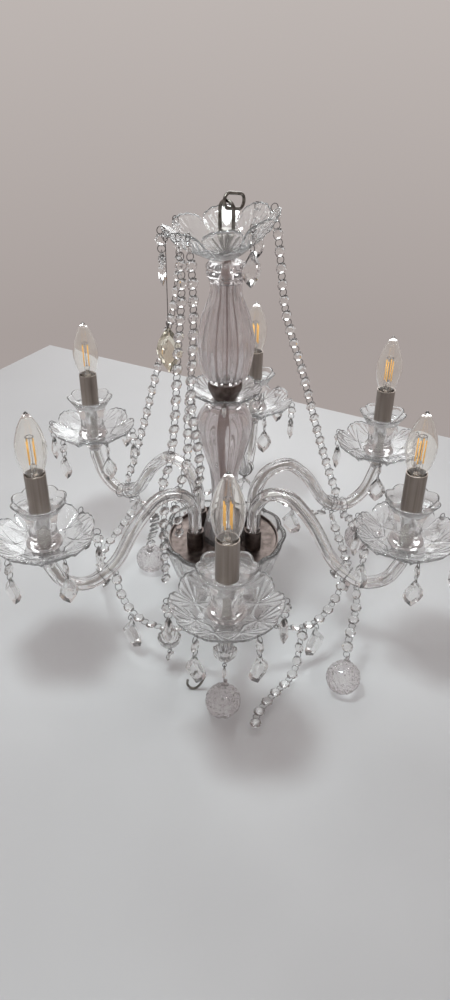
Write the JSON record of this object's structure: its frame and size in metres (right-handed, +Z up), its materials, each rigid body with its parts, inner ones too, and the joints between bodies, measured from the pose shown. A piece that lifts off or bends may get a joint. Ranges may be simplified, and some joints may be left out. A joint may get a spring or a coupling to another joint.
{
  "type": "six-arm crystal candle chandelier",
  "caption": "Clear glass chandelier with S-curved arms, scalloped wax dishes, candle lamps, bead chains and faceted drops on a baluster stem.",
  "frame": {"origin": "centre of the flat foot under the hub bowl, on the table top", "axes": "+Z up along the stem; +X to the right and +Y away from someone facing the front arm"},
  "size_m": [0.5423, 0.599, 0.5367],
  "materials": {
    "moulded_glass": "clear pressed glass with scalloped rims and moulded fans",
    "fluted_glass": "clear blown glass with vertical flutes",
    "arm_glass": "clear ribbed glass tube",
    "cut_glass": "clear glass with cut stars and fans",
    "crackle_glass": "clear glass with a crackled surface",
    "crystal": "faceted clear beads and drops on silver wire",
    "amber_crystal": "faceted crystal with a faint amber tint",
    "lamp_glass": "thin clear lamp glass over amber filaments",
    "brushed_nickel": "satin brown nickel, fine vertical streaks",
    "dark_metal": "dark bronze-nickel plating, satin",
    "nickel": "plain nickel plating",
    "zinc_rod": "zinc-plated threaded rod",
    "white_plastic": "white moulded plastic",
    "clear_flex": "clear-sheathed silver flex"
  },
  "bodies": {
    "frame": {"hub_bowl": "moulded_glass", "bowl_nut": "nickel", "cup_screws": "nickel", "stem_rod": "zinc_rod", "hub_plate": "dark_metal", "arm_cups": "dark_metal", "terminal_block": "white_plastic", "lower_baluster": "fluted_glass", "upper_baluster": "fluted_glass", "top_collar": "fluted_glass", "mid_dish": "moulded_glass", "crown_dish": "moulded_glass", "mid_ring": "dark_metal", "crown_nut": "dark_metal", "hanging_loop": "dark_metal", "glass_arm_1": "arm_glass", "glass_arm_2": "arm_glass", "glass_arm_3": "arm_glass", "glass_arm_4": "arm_glass", "glass_arm_5": "arm_glass", "glass_arm_6": "arm_glass", "bobeche_1": "cut_glass", "bobeche_2": "cut_glass", "bobeche_3": "cut_glass", "bobeche_4": "cut_glass", "bobeche_5": "cut_glass", "bobeche_6": "cut_glass", "candle_cup_1": "moulded_glass", "candle_cup_2": "moulded_glass", "candle_cup_3": "moulded_glass", "candle_cup_4": "moulded_glass", "candle_cup_5": "moulded_glass", "candle_cup_6": "moulded_glass", "candle_sleeve_1": "brushed_nickel", "candle_sleeve_2": "brushed_nickel", "candle_sleeve_3": "brushed_nickel", "candle_sleeve_4": "brushed_nickel", "candle_sleeve_5": "brushed_nickel", "candle_sleeve_6": "brushed_nickel", "arm_wires": "clear_flex", "arm_nipples": "nickel", "lamp_holders": "nickel", "crown_chains": "crystal", "lower_swags": "crystal", "column_drops": "crystal", "bobeche_drops": "crystal"},
    "bulb_1_body": {"bulb_1": "lamp_glass"},
    "bulb_2_body": {"bulb_2": "lamp_glass"},
    "bulb_3_body": {"bulb_3": "lamp_glass"},
    "bulb_4_body": {"bulb_4": "lamp_glass"},
    "bulb_5_body": {"bulb_5": "lamp_glass"},
    "bulb_6_body": {"bulb_6": "lamp_glass"},
    "ball_pendant_1_body": {"ball_pendant_1": "crackle_glass"},
    "ball_pendant_2_body": {"ball_pendant_2": "crackle_glass"},
    "ball_pendant_3_body": {"ball_pendant_3": "crackle_glass"},
    "ball_pendant_4_body": {"ball_pendant_4": "crackle_glass"},
    "ball_pendant_5_body": {"ball_pendant_5": "crackle_glass"},
    "oval_pendant_body": {"oval_pendant": "amber_crystal"},
    "hanging_link_body": {"hanging_link": "dark_metal"}
  },
  "joints": [
    {"name": "bulb_1_turn", "type": "hinge", "parent": "frame", "child": "bulb_1_body", "pos_m": [0.01674, -0.23941, 0.25], "axis": [0, 0, 1], "continuous": true},
    {"name": "bulb_2_turn", "type": "hinge", "parent": "frame", "child": "bulb_2_body", "pos_m": [0.21734, -0.10181, 0.25], "axis": [0, 0, 1], "continuous": true},
    {"name": "bulb_3_turn", "type": "hinge", "parent": "frame", "child": "bulb_3_body", "pos_m": [0.21052, 0.11525, 0.25], "axis": [0, 0, 1], "continuous": true},
    {"name": "bulb_4_turn", "type": "hinge", "parent": "frame", "child": "bulb_4_body", "pos_m": [0.03133, 0.23795, 0.25], "axis": [0, 0, 1], "continuous": true},
    {"name": "bulb_5_turn", "type": "hinge", "parent": "frame", "child": "bulb_5_body", "pos_m": [-0.1985, 0.1349, 0.25], "axis": [0, 0, 1], "continuous": true},
    {"name": "bulb_6_turn", "type": "hinge", "parent": "frame", "child": "bulb_6_body", "pos_m": [-0.19897, -0.13421, 0.25], "axis": [0, 0, 1], "continuous": true},
    {"name": "ball_1_swing", "type": "hinge", "parent": "frame", "child": "ball_pendant_1_body", "pos_m": [0.01327, -0.18972, 0.08847], "axis": [-0.9999, 0.0173, 0], "range_deg": [-30, 20]},
    {"name": "ball_2_swing", "type": "hinge", "parent": "frame", "child": "ball_pendant_2_body", "pos_m": [0.17222, -0.08067, 0.08847], "axis": [-0.9823, 0.1873, 0], "range_deg": [-30, 20]},
    {"name": "ball_3_swing", "type": "hinge", "parent": "frame", "child": "ball_pendant_3_body", "pos_m": [0.16682, 0.09133, 0.08847], "axis": [0.6899, -0.7239, 0], "range_deg": [-38, 20]},
    {"name": "ball_4_swing", "type": "hinge", "parent": "frame", "child": "ball_pendant_4_body", "pos_m": [0.02482, 0.18856, 0.08847], "axis": [-0.9348, 0.3551, 0], "range_deg": [-45, 20]},
    {"name": "ball_5_swing", "type": "hinge", "parent": "frame", "child": "ball_pendant_5_body", "pos_m": [-0.08529, -0.05753, 0.16974], "axis": [0.9748, 0.2232, 0], "range_deg": [-34, 12]},
    {"name": "oval_swing", "type": "hinge", "parent": "frame", "child": "oval_pendant_body", "pos_m": [-0.06145, -0.03112, 0.49526], "axis": [-0.4848, 0.8746, 0], "range_deg": [-4, 20]},
    {"name": "link_swing", "type": "hinge", "parent": "frame", "child": "hanging_link_body", "pos_m": [0, 0, 0.528], "axis": [0.8192, -0.5736, 0], "range_deg": [-50, 100]}
  ]
}
